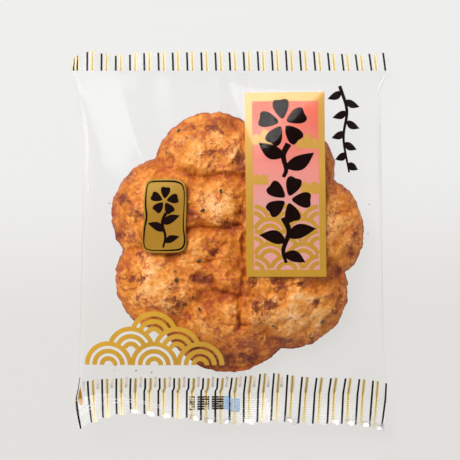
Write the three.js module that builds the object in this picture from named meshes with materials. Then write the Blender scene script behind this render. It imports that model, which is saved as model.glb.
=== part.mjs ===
// A clear pillow bag holding one flower-shaped rice cracker, lying on its back seam.
//
// The bag is one closed solid with the outer shape of the film: a flow-wrapped tube, puffed by
// the cracker and the air around it, closed by a crimped seal fin across each end.
//
// Millimetres. +X is the bag's width, +Y runs towards the top seal, +Z is up. The origin is on
// the ground under the middle of the bag.

import * as THREE from "three";

// ---- driving dimensions -------------------------------------------------------------------

// Plan of the tube between the two seals.
const TOP_SEAL_Y = 60.7; // the top crimp's inner line
const BOTTOM_SEAL_Y = -55.0; // the bottom crimp's inner line
const SEAL_CORNER_SAG = 2.83; // the bottom line bows outwards by this much at the corners

// Half widths: at the waist, and what the flare towards each seal adds.
const LEFT_SIDE = { waist: 51.3, drift: 3.3, topFlare: 5.7, topReach: 28, bottomFlare: 1.5, bottomReach: 10 };
const RIGHT_SIDE = { waist: 53.9, drift: 1.4, topFlare: 3.1, topReach: 11, bottomFlare: 1.5, bottomReach: 24 };

// Heights of the pillow.
const TOP_SEAL_Z = 7.8; // where the film's two layers meet at the top seal
const BOTTOM_SEAL_Z = 6.0; // and at the bottom seal
const BAG_HEIGHT = 18.4; // top of the dome
const UNDERSIDE_DEPTH = 9.5; // depth below the side fold before the ground flattens it
const SHOULDER_REACH = 44; // distance from a seal at which the dome is full
const SHOULDER_POWER = 2.3;
const SECTION_POWER_MIDDLE = 2.45; // superellipse power of the section at the waist
const SECTION_POWER_SEAL = 2.0; // and right at a seal

// Soft gathers that run in from each seal: height, spacing, shift and how far they reach.
const GATHERS = [
  { height: 0.55, spacing: 17.0, shift: 0.4, reach: 15 },
  { height: 0.32, spacing: 9.4, shift: 2.1, reach: 8 },
];

// Crimped fins: length, cut edge, and how much each is bent out of the level.
const FIN_THICKNESS = 0.8;
const CUT_TOOTH_COUNT = 22;
const CUT_TOOTH_DEPTH = 1.2;
const TOP_FIN = {
  length: 9.0,
  slope: -38,
  ripples: [
    { at: -57, reach: 3.5, degrees: -16 },
    { at: -50, reach: 4.5, degrees: 6 },
    { at: -41, reach: 7, degrees: -9 },
    { at: -15, reach: 16, degrees: 2 },
    { at: 20, reach: 14, degrees: 8 },
    { at: 45, reach: 12, degrees: -7 },
  ],
};
const BOTTOM_FIN = {
  length: 11.6,
  slope: 5,
  ripples: [
    { at: -36, reach: 20, degrees: 49 },
    { at: -14, reach: 8, degrees: 18 },
    { at: 16, reach: 8, degrees: 26 },
    { at: 40, reach: 10, degrees: 9 },
  ],
};
const BOTTOM_CORNER_PULL = 1.7; // how far the cut corners are drawn in from the seal's ends

// Mesh density.
const COLUMNS = 2 * CUT_TOOTH_COUNT; // each tooth has a tip and a notch
const FIN_ROWS = 4;
const BODY_ROWS = 34;

// ---- plan ---------------------------------------------------------------------------------

const mix = (from, to, share) => from + (to - from) * share;
const clamp01 = (value) => Math.min(1, Math.max(0, value));
const smooth = (value) => clamp01(value) ** 2 * (3 - 2 * clamp01(value));
const fade = (distance, reach) => clamp01(1 - distance / reach) ** 1.5;
const hill = (offset, reach) => Math.exp(-((offset / reach) ** 2));

function halfWidth(side, y) {
  const fromTop = Math.max(0, TOP_SEAL_Y - y);
  const fromBottom = Math.max(0, y - BOTTOM_SEAL_Y);
  const down = clamp01(fromTop / (TOP_SEAL_Y - BOTTOM_SEAL_Y));
  const flare = side.topFlare * fade(fromTop, side.topReach);
  return side.waist + side.drift * down + flare + side.bottomFlare * fade(fromBottom, side.bottomReach);
}

// Distance from the nearer seal, where the section goes from flat to fully puffed.
const fromSeal = (y) => Math.max(0, Math.min(TOP_SEAL_Y - y, y - BOTTOM_SEAL_Y));

// The height at which the top and bottom layers of film meet at the side folds.
function foldHeight(y) {
  return mix(BOTTOM_SEAL_Z, TOP_SEAL_Z, smooth((y - BOTTOM_SEAL_Y) / (TOP_SEAL_Y - BOTTOM_SEAL_Y)));
}

// across runs from -1 at the left fold to 1 at the right one. Columns are even at a seal and
// crowd towards the folds further in, where the film turns down.
function planX(across, y) {
  const puffed = smooth(fromSeal(y) / 22);
  const spread = mix(across, Math.sin((Math.PI / 2) * across), puffed);
  const side = spread < 0 ? LEFT_SIDE : RIGHT_SIDE;
  return spread * halfWidth(side, y);
}

// ---- heights ------------------------------------------------------------------------------

// How much of the full height the section has at this station.
const rise = (y) => 1 - (1 - clamp01(fromSeal(y) / SHOULDER_REACH)) ** SHOULDER_POWER;

function sectionShare(x, y) {
  const side = x < 0 ? LEFT_SIDE : RIGHT_SIDE;
  const share = clamp01(Math.abs(x) / halfWidth(side, y));
  const power = mix(SECTION_POWER_SEAL, SECTION_POWER_MIDDLE, rise(y));
  return (1 - share ** power) ** (1 / power);
}

function gatherHeight(x, y) {
  const inward = fromSeal(y);
  let height = 0;
  for (const gather of GATHERS) {
    const swell = smooth(inward / 4) * Math.exp(-inward / gather.reach);
    height += gather.height * swell * Math.cos((2 * Math.PI * x) / gather.spacing + gather.shift);
  }
  return height;
}

function topHeight(x, y) {
  const share = sectionShare(x, y);
  return foldHeight(y) + (BAG_HEIGHT - foldHeight(y)) * rise(y) * share + gatherHeight(x, y) * smooth(share * 2);
}

// The ground holds the underside flat wherever the film would hang below it.
function bottomHeight(x, y) {
  const hang = foldHeight(y) - UNDERSIDE_DEPTH * rise(y) * sectionShare(x, y);
  return Math.max(0, hang);
}

// ---- seal fins ----------------------------------------------------------------------------

function finSlope(fin, x) {
  let degrees = fin.slope;
  for (const ripple of fin.ripples) {
    degrees += ripple.degrees * hill(x - ripple.at, ripple.reach);
  }
  return THREE.MathUtils.degToRad(degrees);
}

// outward runs from 0 at the crimp's inner line to 1 at the cut edge; column says whether the
// edge is at a tooth's tip or at its notch.
function finPoint(fin, direction, across, outward, column) {
  const top = direction > 0;
  const sealY = top ? TOP_SEAL_Y : BOTTOM_SEAL_Y;
  const pull = top ? 0 : BOTTOM_CORNER_PULL * outward;
  const x = planX(across, sealY) - pull * Math.sign(across) * Math.abs(across) ** 6;
  const sag = top ? 0 : SEAL_CORNER_SAG * Math.abs(across) ** 8;
  const notch = column % 2 === 0 ? CUT_TOOTH_DEPTH * outward ** 4 : 0;
  const reach = fin.length * outward - notch;
  const slope = finSlope(fin, x);
  const y = sealY + direction * (sag + reach * Math.cos(slope));
  const z = (top ? TOP_SEAL_Z : BOTTOM_SEAL_Z) + reach * Math.sin(slope);
  return { x, y, z };
}

// ---- the closed shell ---------------------------------------------------------------------

// Each row is one line of points across the bag, with the height of both layers of film.
function finRow(fin, direction, outward) {
  const row = [];
  for (let column = 0; column <= COLUMNS; column += 1) {
    const across = (2 * column) / COLUMNS - 1;
    const point = finPoint(fin, direction, across, outward, column);
    row.push({ x: point.x, y: point.y, top: point.z + FIN_THICKNESS / 2, bottom: point.z - FIN_THICKNESS / 2 });
  }
  return row;
}

function bodyRow(share) {
  // Rows crowd towards the seals, where the film climbs fastest.
  const eased = mix(share, smooth(share), 0.75);
  const row = [];
  for (let column = 0; column <= COLUMNS; column += 1) {
    const across = (2 * column) / COLUMNS - 1;
    const sag = SEAL_CORNER_SAG * Math.abs(across) ** 8 * (1 - eased) ** 6;
    const y = mix(BOTTOM_SEAL_Y, TOP_SEAL_Y, eased);
    const x = planX(across, y);
    const half = FIN_THICKNESS / 2;
    const top = Math.max(topHeight(x, y), foldHeight(y)) + half;
    const bottom = Math.max(0, Math.min(bottomHeight(x, y), foldHeight(y)) - half);
    row.push({ x, y: y - sag, top, bottom });
  }
  return row;
}

function bagRows() {
  const rows = [];
  for (let step = FIN_ROWS; step >= 1; step -= 1) {
    rows.push(finRow(BOTTOM_FIN, -1, step / FIN_ROWS));
  }
  for (let step = 0; step <= BODY_ROWS; step += 1) {
    rows.push(bodyRow(step / BODY_ROWS));
  }
  for (let step = 1; step <= FIN_ROWS; step += 1) {
    rows.push(finRow(TOP_FIN, 1, step / FIN_ROWS));
  }
  return rows;
}

function shellGeometry(rows) {
  const width = COLUMNS + 1;
  const positions = [];
  for (const row of rows) {
    row.forEach((point) => positions.push(point.x, point.y, point.top));
    row.forEach((point) => positions.push(point.x, point.y, point.bottom));
  }
  const upper = (row, column) => row * 2 * width + column;
  const lower = (row, column) => upper(row, column) + width;
  const faces = [];
  const quad = (a, b, c, d) => faces.push(a, b, c, a, c, d);
  const lastRow = rows.length - 1;
  for (let row = 0; row < lastRow; row += 1) {
    for (let column = 0; column < COLUMNS; column += 1) {
      quad(upper(row, column), upper(row, column + 1), upper(row + 1, column + 1), upper(row + 1, column));
      quad(lower(row, column), lower(row + 1, column), lower(row + 1, column + 1), lower(row, column + 1));
    }
    quad(lower(row, 0), upper(row, 0), upper(row + 1, 0), lower(row + 1, 0));
    quad(lower(row, COLUMNS), lower(row + 1, COLUMNS), upper(row + 1, COLUMNS), upper(row, COLUMNS));
  }
  for (let column = 0; column < COLUMNS; column += 1) {
    quad(lower(0, column), lower(0, column + 1), upper(0, column + 1), upper(0, column));
    quad(lower(lastRow, column), upper(lastRow, column), upper(lastRow, column + 1), lower(lastRow, column + 1));
  }
  const geometry = new THREE.BufferGeometry();
  geometry.setAttribute("position", new THREE.Float32BufferAttribute(positions, 3));
  geometry.setIndex(faces);
  geometry.computeVertexNormals();
  return geometry;
}

// ---- the pack -----------------------------------------------------------------------------

const film = new THREE.MeshStandardMaterial({
  color: "#ece9e6",
  roughness: 0.12,
  metalness: 0,
  transparent: true,
  opacity: 0.35,
});

const bag = new THREE.Mesh(shellGeometry(bagRows()), film);
bag.name = "bag";

const pack = new THREE.Group();
pack.add(bag);

export default pack;
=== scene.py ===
# A soy-glazed rice cracker sealed in a clear printed pillow bag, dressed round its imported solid.
#
# Lengths are millimetres until a mesh is written. +X is the bag's width, +Y runs towards the top
# seal and +Z is up. The bag's formulas are those of its solid, so the film lies where the solid is.

import math
import random
from contextlib import contextmanager

import bpy
import numpy as np
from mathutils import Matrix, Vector, noise


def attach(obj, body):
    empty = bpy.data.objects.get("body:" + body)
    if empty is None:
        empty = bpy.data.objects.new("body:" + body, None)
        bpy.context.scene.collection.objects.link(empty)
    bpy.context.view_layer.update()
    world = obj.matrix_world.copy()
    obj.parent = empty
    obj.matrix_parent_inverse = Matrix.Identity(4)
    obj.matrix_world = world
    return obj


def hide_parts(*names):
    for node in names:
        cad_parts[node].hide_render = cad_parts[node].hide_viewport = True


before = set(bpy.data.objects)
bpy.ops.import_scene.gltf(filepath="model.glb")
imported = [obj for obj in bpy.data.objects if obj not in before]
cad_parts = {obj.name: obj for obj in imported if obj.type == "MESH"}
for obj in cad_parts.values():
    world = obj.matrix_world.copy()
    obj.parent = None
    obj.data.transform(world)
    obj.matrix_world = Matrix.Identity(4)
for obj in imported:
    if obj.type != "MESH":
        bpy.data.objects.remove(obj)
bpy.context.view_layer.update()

MM = 0.001
FAR = 1e9

# ---- the bag's shape ----------------------------------------------------------------------------

TOP_SEAL_Y = 60.7
BOTTOM_SEAL_Y = -55.0
SEAL_CORNER_SAG = 2.83
# Each side's half width at its waist, how much wider it drifts down the bag, and how it flares to
# the seals.
LEFT_SIDE = {
    "waist": 51.3, "drift": 3.3, "top_flare": 5.7, "top_reach": 28, "bottom_flare": 1.5, "bottom_reach": 10,
}
RIGHT_SIDE = {
    "waist": 53.9, "drift": 1.4, "top_flare": 3.1, "top_reach": 11, "bottom_flare": 1.5, "bottom_reach": 24,
}
TOP_SEAL_Z = 7.8
BOTTOM_SEAL_Z = 6.0
BAG_HEIGHT = 18.4
UNDERSIDE_DEPTH = 9.5
PUFF_REACH = 22  # this far from a seal the film is round enough for its columns to bunch at the sides
SHOULDER_REACH = 44
SHOULDER_POWER = 2.3
SECTION_POWER_MIDDLE = 2.45
SECTION_POWER_SEAL = 2.0
GATHERS = [(0.55, 17.0, 0.4, 15), (0.32, 9.4, 2.1, 8)]  # height, spacing, shift, reach
GATHER_SHARE = 0.15  # the film itself is smoother than the solid's gathers

# Seal fins. Their seal line sags at the corners, and their cut corners are pulled in. Ripples are
# (place, reach, degrees). Some teeth are pressed flat and curl to face up the bag; their white is
# partly crimp whitening and partly a painted glint: (x, how white).
TOP_FIN = {
    "side": 1,
    "seal_y": TOP_SEAL_Y,
    "seal_z": TOP_SEAL_Z,
    "sag": 0.0,
    "pull": 0.0,
    "length": 9.9,
    "slope": -38,
    "ripples": [(-57, 3.5, -16), (-50, 4.5, 6), (-41, 7, -9), (-15, 16, 2), (20, 14, 8), (45, 12, -7)],
    "teeth_with_painted_glint": [],
}
BOTTOM_FIN = {
    "side": -1,
    "seal_y": BOTTOM_SEAL_Y,
    "seal_z": BOTTOM_SEAL_Z,
    "sag": SEAL_CORNER_SAG,
    "pull": 1.7,
    "length": 11.6,
    "slope": 5,
    "ripples": [(-36, 20, 49), (-14, 8, 18), (16, 8, 26), (40, 10, 9)],
    "teeth_with_painted_glint": [
        (-34.1, 0.75), (-28.5, 0.8), (-22.8, 0.3), (-12.2, 0.3), (-6.9, 0.4), (-0.6, 0.3), (6.5, 0.3),
        (21.4, 0.8), (37.9, 0.35), (43.4, 0.35), (48.9, 0.6), (54.2, 0.65),
    ],
}
CUT_TEETH = 22
TOOTH_DEPTH = 1.2
FLAT_HALF_WIDTH = 2.1  # of a pressed tooth
FLAT_EDGE = 0.9  # over which it gives way to the film beside it
CURL_REACH = 2.2  # how much of a tooth is curled, in plan
CURL_RISE = 0.435  # its slope towards the cut edge
CURL_TILT = 0.265  # and across the tooth
CURL_TWIST = 0.6  # the most that a tooth is twisted against the fin that it ends

# What the film adds to the plain form: crimp ribs in the fins, and long soft creases in the body.
LAYER_GAP = 0.06  # half the distance between the two layers in a fin
CRIMP_PITCH = 0.8
CRIMP_HEIGHT = 0.09
REST_GAP = 0.1  # the underside stands this far off the ground, over the back seam's flap

# Soft creases: from (x, y) to (x, y), half width, height.
CREASES = [
    ((25.0, -54.0), (30.0, -44.0), 2.5, 0.3),
    ((-38.0, -54.0), (-30.0, -45.0), 2.6, 0.35),
    ((46.0, 60.0), (43.0, 40.0), 5.0, 0.9),
]
# Pinched ridges, sharp along the top: points (x, y, height, reach to each side).
RIDGES = [
    [
        (-41.0, 58.9, 0.3, 8.0), (-39.1, 51.7, 1.1, 8.0), (-33.6, 36.0, 1.6, 5.5),
        (-30.2, 26.5, 1.5, 3.0), (-28.0, 20.0, 0.0, 3.0),
    ],
    [(56.6, 60.0, 0.3, 0.7), (54.5, 55.0, 0.5, 0.7), (52.6, 51.0, 0.0, 0.7)],
]
# A soft swell of trapped air over the left lobe: x, y, half width, half height, height, lean.
SWELL = (-34.0, 14.0, 9.0, 14.0, 1.2, -0.3)
# Under the label panel the film billows, from a foot line up to a slanting crest.
BILLOW_FOOT = ((-1.8, 58.5), (7.5, 35.2))
BILLOW_CREST = ((33.0, 52.0), (16.0, 34.0))
BILLOW_SLOPE = 0.18
BILLOW_END = 53.0


def mix(start, end, share):
    return start + (end - start) * share


def clamp(value):
    return np.clip(value, 0.0, 1.0)


def smooth(value):
    return clamp(value) ** 2 * (3 - 2 * clamp(value))


def hill(offset, reach):
    return np.exp(-((offset / reach) ** 2))


def soft_above_zero(value, round_off):
    """The value where it is above 0 and 0 below, with the corner between rounded off."""
    return np.log1p(np.exp(np.clip(value / round_off, -30, 60))) * round_off


def half_width(x, y):
    """Half the bag's width at y, on the side that x is on."""
    from_top = np.maximum(0.0, TOP_SEAL_Y - y)
    from_bottom = np.maximum(0.0, y - BOTTOM_SEAL_Y)
    down = clamp(from_top / (TOP_SEAL_Y - BOTTOM_SEAL_Y))
    widths = []
    for side in (LEFT_SIDE, RIGHT_SIDE):
        flare = side["top_flare"] * clamp(1 - from_top / side["top_reach"]) ** 1.5
        flare = flare + side["bottom_flare"] * clamp(1 - from_bottom / side["bottom_reach"]) ** 1.5
        widths.append(side["waist"] + side["drift"] * down + flare)
    return np.where(x < 0, widths[0], widths[1])


def from_seal(y):
    return np.maximum(0.0, np.minimum(TOP_SEAL_Y - y, y - BOTTOM_SEAL_Y))


def body_share(y):
    """How far up the body a height in plan is, from seal to seal."""
    return (y - BOTTOM_SEAL_Y) / (TOP_SEAL_Y - BOTTOM_SEAL_Y)


def fold_height(y):
    return mix(BOTTOM_SEAL_Z, TOP_SEAL_Z, smooth(body_share(y)))


def plan_x(across, y):
    """The x of a column of the film, which runs across from -1 at the left edge to 1 at the right."""
    puffed = smooth(from_seal(y) / PUFF_REACH)
    spread = mix(across, np.sin(math.pi / 2 * across), puffed)
    return spread * half_width(across, y)


def rise(y):
    return 1 - (1 - clamp(from_seal(y) / SHOULDER_REACH)) ** SHOULDER_POWER


def section_share(x, y):
    share = clamp(np.abs(x) / half_width(x, y))
    power = mix(SECTION_POWER_SEAL, SECTION_POWER_MIDDLE, rise(y))
    return (1 - share**power) ** (1 / power)


def gather_height(x, y):
    inward = from_seal(y)
    height = 0.0
    for size, spacing, shift, reach in GATHERS:
        swell = GATHER_SHARE * smooth(inward / 4) * np.exp(-inward / reach)
        height = height + size * swell * np.cos(2 * math.pi * x / spacing + shift)
    return height


def crease_height(x, y):
    """What the soft creases and the swell add."""
    height = 0.0 * x
    for start, end, width, size in CREASES:
        along_x, along_y = end[0] - start[0], end[1] - start[1]
        length = math.hypot(along_x, along_y)
        along = ((x - start[0]) * along_x + (y - start[1]) * along_y) / length**2
        off = ((x - start[0]) * along_y - (y - start[1]) * along_x) / length
        ends = smooth((along + 0.15) / 0.3) * smooth((1.15 - along) / 0.45)
        height = height + size * hill(off, width) * ends * smooth(from_seal(y) / 3)
    place_x, place_y, wide, tall, size, lean = SWELL
    return height + size * hill(x - place_x - lean * (y - place_y), wide) * hill(y - place_y, tall)


def near_segment(start, end, x, y):
    """How far along a segment its nearest point is, from 0 to 1, and how far off that is."""
    (ax, ay), (bx, by) = start, end
    run = (bx - ax) ** 2 + (by - ay) ** 2
    along = clamp(((x - ax) * (bx - ax) + (y - ay) * (by - ay)) / run)
    return along, np.hypot(x - ax - along * (bx - ax), y - ay - along * (by - ay))


def off_path(points, x, y):
    """Distance to a path of points."""
    nearest = FAR + 0.0 * x
    for start, end in zip(points, points[1:]):
        nearest = np.minimum(nearest, near_segment(start, end, x, y)[1])
    return nearest


def ridge_height(x, y):
    height = 0.0 * x
    for points in RIDGES:
        nearest = FAR + 0.0 * x
        size, reach = 0.0 * x, 1.0 + 0.0 * x
        for (*start, size_a, reach_a), (*end, size_b, reach_b) in zip(points, points[1:]):
            along, off = near_segment(start, end, x, y)
            size = np.where(off < nearest, mix(size_a, size_b, along), size)
            reach = np.where(off < nearest, mix(reach_a, reach_b, along), reach)
            nearest = np.minimum(nearest, off)
        height = height + size * np.exp(-nearest / reach)
    return height


def line_x(line, y):
    """Where a slanting line through two points crosses each y."""
    (ax, ay), (bx, by) = line
    return ax + (y - ay) * (bx - ax) / (by - ay)


def billow_height(x, y):
    """A slope from the foot line up to the crest, and a soft fall beyond."""
    foot, crest = line_x(BILLOW_FOOT, y), line_x(BILLOW_CREST, y)
    climb = np.minimum(np.maximum(crest - foot, 0.0), np.maximum(x - foot, 0.0))
    fall = smooth((BILLOW_END - x) / np.maximum(BILLOW_END - crest, 1.0))
    return BILLOW_SLOPE * climb * fall * smooth(from_seal(y) / 8)


def upper_layer(x, y):
    """Height of the film's top layer in the puffed body."""
    share = section_share(x, y)
    plain = fold_height(y) + (BAG_HEIGHT - fold_height(y)) * rise(y) * share
    detail = gather_height(x, y) + crease_height(x, y) + ridge_height(x, y) + billow_height(x, y)
    detail = detail * smooth(share * 2)
    return np.maximum(plain + detail, fold_height(y)) + LAYER_GAP


def lower_layer(x, y):
    """Height of the bottom layer, which the ground holds flat."""
    hang = fold_height(y) - UNDERSIDE_DEPTH * rise(y) * section_share(x, y) - LAYER_GAP
    return REST_GAP + soft_above_zero(hang - REST_GAP, 0.25)


def corner_sag(across, share):
    return SEAL_CORNER_SAG * np.abs(across) ** 8 * (1 - share) ** 6


def in_plan(x, body_y):
    """Where a place in the body lies up the bag, once the bottom seal's corners have sagged."""
    return body_y - corner_sag(x / half_width(x, body_y), body_share(body_y))


def fin_slope(fin, x):
    degrees = fin["slope"] + 0.0 * x
    for place, reach, bend in fin["ripples"]:
        degrees = degrees + bend * hill(x - place, reach)
    return np.radians(degrees)


def tooth_notch(across):
    """1 at the notches of the cut edge, 0 at the tips of its teeth."""
    step = (across + 1) / 2 * CUT_TEETH
    part = step - np.floor(step)
    return 1 - 2 * np.minimum(part, 1 - part)


def crimp_rib(reach):
    """The heated jaws press fine ribs across the fin."""
    return CRIMP_HEIGHT * np.sin(2 * math.pi * reach / CRIMP_PITCH) * smooth(reach / 0.4)


def flat_tooth(fin, x):
    """How much of a pressed tooth is at x, how white it is, partly as painted glint, and how far off its
    middle x is.
    """
    flat, white, offset = 0.0 * x, 0.0 * x, 0.0 * x
    for place, white_and_painted_glint in fin["teeth_with_painted_glint"]:
        near = smooth((FLAT_HALF_WIDTH - np.abs(x - place)) / FLAT_EDGE)
        flat = np.maximum(flat, near)
        white = np.where(near > 0, white_and_painted_glint * near, white)
        offset = np.where(near > 0, x - place, offset)
    return flat, white, offset


def tooth_curl(fin, x, reach, slope):
    """What a pressed tooth's curl adds to its height, and how far its ribs are flattened."""
    flat, _, offset = flat_tooth(fin, x)
    beyond = np.maximum(0.0, (reach - fin["length"]) * np.cos(slope) + CURL_REACH)
    pressed = flat * smooth(beyond / 0.6)
    before, after = fin_slope(fin, x - offset - 0.5), fin_slope(fin, x - offset + 0.5)
    fin_tilt = (fin["length"] * np.cos(slope) - CURL_REACH) * (np.tan(after) - np.tan(before))
    twist = np.clip(CURL_TILT - fin_tilt, -CURL_TWIST, CURL_TWIST)
    return flat * beyond * (CURL_RISE - np.tan(slope)) + pressed * twist * offset, pressed


def on_fin(fin, x, outward):
    """Place on a fin: x at its seal line, outward from 0 there to 1 at the cut edge."""
    across = x / half_width(x, fin["seal_y"] + 0.0 * x)
    place = x - fin["pull"] * outward * np.sign(across) * np.abs(across) ** 6
    reach = fin["length"] * outward - TOOTH_DEPTH * tooth_notch(across) * outward**4
    slope = fin_slope(fin, place)
    sag = fin["sag"] * np.abs(across) ** 8
    y = fin["seal_y"] + fin["side"] * (sag + reach * np.cos(slope))
    curl, pressed = tooth_curl(fin, place, reach, slope)
    return place, y, fin["seal_z"] + reach * np.sin(slope) + crimp_rib(reach) * (1 - pressed) + curl


# ---- meshes -------------------------------------------------------------------------------------


def start_piece(name):
    """The primitive just added becomes a named piece."""
    piece = bpy.context.object
    piece.name = name
    piece.data.name = name
    return piece


def read_places(piece):
    places = np.empty(len(piece.data.vertices) * 3)
    piece.data.vertices.foreach_get("co", places)
    return places.reshape(-1, 3)


def write_places(piece, x, y, z):
    places = np.stack([x, y, z], axis=-1) * MM
    piece.data.vertices.foreach_set("co", places.ravel())
    piece.data.update()


def write_values(piece, name, values):
    """A value at each vertex, for the piece's material to read."""
    layer = piece.data.attributes.new(name, "FLOAT", "POINT")
    layer.data.foreach_set("value", np.asarray(values, dtype=float))


@contextmanager
def editing():
    """Edit mode with the whole mesh selected."""
    bpy.ops.object.mode_set(mode="EDIT")
    bpy.ops.mesh.select_all(action="SELECT")
    yield
    bpy.ops.object.mode_set(mode="OBJECT")


def new_sheet(name, columns, rows):
    """A flat grid from -1 to 1, as a named piece, and the places of its vertices."""
    bpy.ops.object.select_all(action="DESELECT")
    bpy.ops.mesh.primitive_grid_add(x_subdivisions=columns, y_subdivisions=rows, size=2)
    piece = start_piece(name)
    return piece, read_places(piece)


def new_slab(name, columns, rows):
    """The same grid, extruded once into a closed slab with its bottom at 0 and its top at 1."""
    piece, _ = new_sheet(name, columns, rows)
    with editing():
        bpy.ops.mesh.extrude_region_move(TRANSFORM_OT_translate={"value": (0, 0, 1)})
        bpy.ops.mesh.select_all(action="SELECT")
        bpy.ops.mesh.normals_make_consistent(inside=False)
    return piece, read_places(piece)


def close_seams(distance):
    with editing():
        bpy.ops.mesh.remove_doubles(threshold=distance * MM)
        bpy.ops.mesh.select_all(action="SELECT")
        bpy.ops.mesh.normals_make_consistent(inside=False)


def join_pieces(name, pieces):
    bpy.ops.object.select_all(action="DESELECT")
    for piece in pieces:
        piece.select_set(True)
    bpy.context.view_layer.objects.active = pieces[0]
    if len(pieces) > 1:
        bpy.ops.object.join()
    return start_piece(name)


def face_up(piece):
    """A flat piece faces up, as its ink does."""
    with editing():
        bpy.ops.mesh.normals_make_consistent(inside=False)
    up = sum(face.normal.z * face.area for face in piece.data.polygons)
    if up < 0:
        piece.data.flip_normals()


def join_flat(name, pieces):
    piece = join_pieces(name, pieces)
    face_up(piece)
    return piece


def dress(piece, finish):
    piece.data.materials.clear()
    piece.data.materials.append(finish)
    piece.data.shade_smooth()
    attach(piece, "root")
    return piece


# ---- materials ----------------------------------------------------------------------------------


def linear(colour):
    """sRGB hex to the linear colour that a shader takes."""
    parts = [int(colour[i : i + 2], 16) / 255 for i in (1, 3, 5)]
    parts = [c / 12.92 if c <= 0.04045 else ((c + 0.055) / 1.055) ** 2.4 for c in parts]
    return (*parts, 1.0)


def new_finish(name):
    finish = bpy.data.materials.new(name)
    finish.use_nodes = True
    finish.node_tree.nodes.clear()
    return finish, finish.node_tree


def add(tree, kind, inputs=None, **settings):
    """One node. An input is a value, a socket, or another node, which stands for its first output."""
    item = tree.nodes.new("ShaderNode" + kind)
    for name, value in settings.items():
        setattr(item, name, value)
    for socket, value in (inputs or {}).items():
        if isinstance(value, bpy.types.Node):
            value = next(out for out in value.outputs if not out.is_unavailable)
        if isinstance(value, bpy.types.NodeSocket):
            tree.links.new(value, item.inputs[socket])
        else:
            item.inputs[socket].default_value = value
    return item


def per_mm(size):
    """Noise scale for lumps of about this many millimetres."""
    return 0.6 / (size * MM)


def film_finish():
    """Oriented polypropylene film, blown and printed inside: clear, glossy on both faces."""
    finish, tree = new_finish("clear_polypropylene_film")
    place = add(tree, "TexCoord").outputs["Object"]
    ripple = add(tree, "TexNoise", {"Vector": place, "Scale": per_mm(7.0), "Detail": 2.0})
    bump = add(tree, "Bump", {"Height": ripple, "Strength": 0.1, "Distance": 0.0002})
    clear = add(tree, "BsdfTransparent", {"Color": (1, 1, 1, 1)})
    gloss = add(tree, "BsdfGlossy", {"Normal": bump, "Roughness": 0.13})
    # A thin sheet reflects alike from both faces: little face on, much at a slant.
    facing = add(tree, "LayerWeight", {"Normal": bump, "Blend": 0.5}).outputs["Facing"]
    slant = add(tree, "Math", {0: facing, 1: 5.0}, operation="POWER")
    shine = add(tree, "Math", {0: slant, 1: 0.98, 2: 0.02}, operation="MULTIPLY_ADD")
    sheet = add(tree, "MixShader", {0: shine, 1: clear, 2: gloss})
    # Crimping leaves the film milky, and its ribs scatter what they reflect.
    milk = add(tree, "BsdfTranslucent", {"Color": (0.97, 0.97, 0.97, 1)})
    chalk = add(tree, "BsdfDiffuse", {"Color": (0.97, 0.97, 0.97, 1)})
    white = add(tree, "MixShader", {0: 0.5, 1: milk, 2: chalk})
    # Teeth that are pressed flat have no ribs, and shine whole.
    gleam = add(tree, "Attribute", attribute_name="gleam").outputs["Fac"]
    rough = add(tree, "Math", {0: gleam, 1: -0.28, 2: 0.7}, operation="MULTIPLY_ADD")
    glint = add(tree, "BsdfGlossy", {"Roughness": rough})
    share = add(tree, "Math", {0: gleam, 1: 0.2, 2: 0.22}, operation="MULTIPLY_ADD")
    ribs = add(tree, "MixShader", {0: share, 1: white, 2: glint})
    haze = add(tree, "Attribute", attribute_name="haze").outputs["Fac"]
    whole = add(tree, "MixShader", {0: haze, 1: sheet, 2: ribs})
    add(tree, "OutputMaterial", {"Surface": whole})
    return finish


def mottled(tree, place, size, low, high, start=0.3, end=0.7):
    """One colour that runs into another in patches of about this many millimetres."""
    mottle = add(tree, "TexNoise", {"Vector": place, "Scale": per_mm(size), "Detail": 3.0})
    share = add(tree, "MapRange", {0: mottle, 1: start, 2: end})
    return add(tree, "Mix", {0: share, 6: low, 7: high}, data_type="RGBA")


def ink_finish(name, low, high, rough, size, gleam=0.2):
    """Gravure ink behind film: even colour with the slight mottle of a fast web press."""
    finish, tree = new_finish(name)
    place = add(tree, "TexCoord").outputs["Object"]
    colour = mottled(tree, place, size, linear(low), linear(high))
    skin = add(tree, "BsdfPrincipled", {
        "Base Color": colour, "Roughness": rough, "Specular IOR Level": gleam,
    })
    add(tree, "OutputMaterial", {"Surface": skin})
    return finish


def gold_stripe_finish():
    """Gold over a wider pale yellow bar: on the crimp's ribs the gold breaks up and fades."""
    finish, tree = new_finish("gold_over_yellow_ink")
    middle, ribs, broken, left = (
        add(tree, "Attribute", attribute_name=name).outputs["Fac"]
        for name in ("middle", "ribs", "broken", "gold_left")
    )
    core = add(tree, "MapRange", {0: middle, 1: 0.42, 2: 0.68})
    rib = add(tree, "Math", {0: ribs, 1: 0.5}, operation="PINGPONG")
    dash = add(tree, "MapRange", {0: rib, 1: 0.16, 2: 0.34})
    lost = add(tree, "Math", {0: dash, 1: -1.0, 2: 1.0}, operation="MULTIPLY_ADD")
    lost = add(tree, "Math", {0: lost, 1: broken}, operation="MULTIPLY")
    gold = add(tree, "Math", {0: core, 1: lost}, operation="SUBTRACT", use_clamp=True)
    gold = add(tree, "Math", {0: gold, 1: left}, operation="MULTIPLY")
    colour = add(tree, "Mix", {0: gold, 6: linear("#E4D8AE"), 7: linear("#B48E3C")}, data_type="RGBA")
    skin = add(tree, "BsdfPrincipled", {"Base Color": colour, "Roughness": 0.5, "Specular IOR Level": 0.2})
    add(tree, "OutputMaterial", {"Surface": skin})
    return finish


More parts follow.
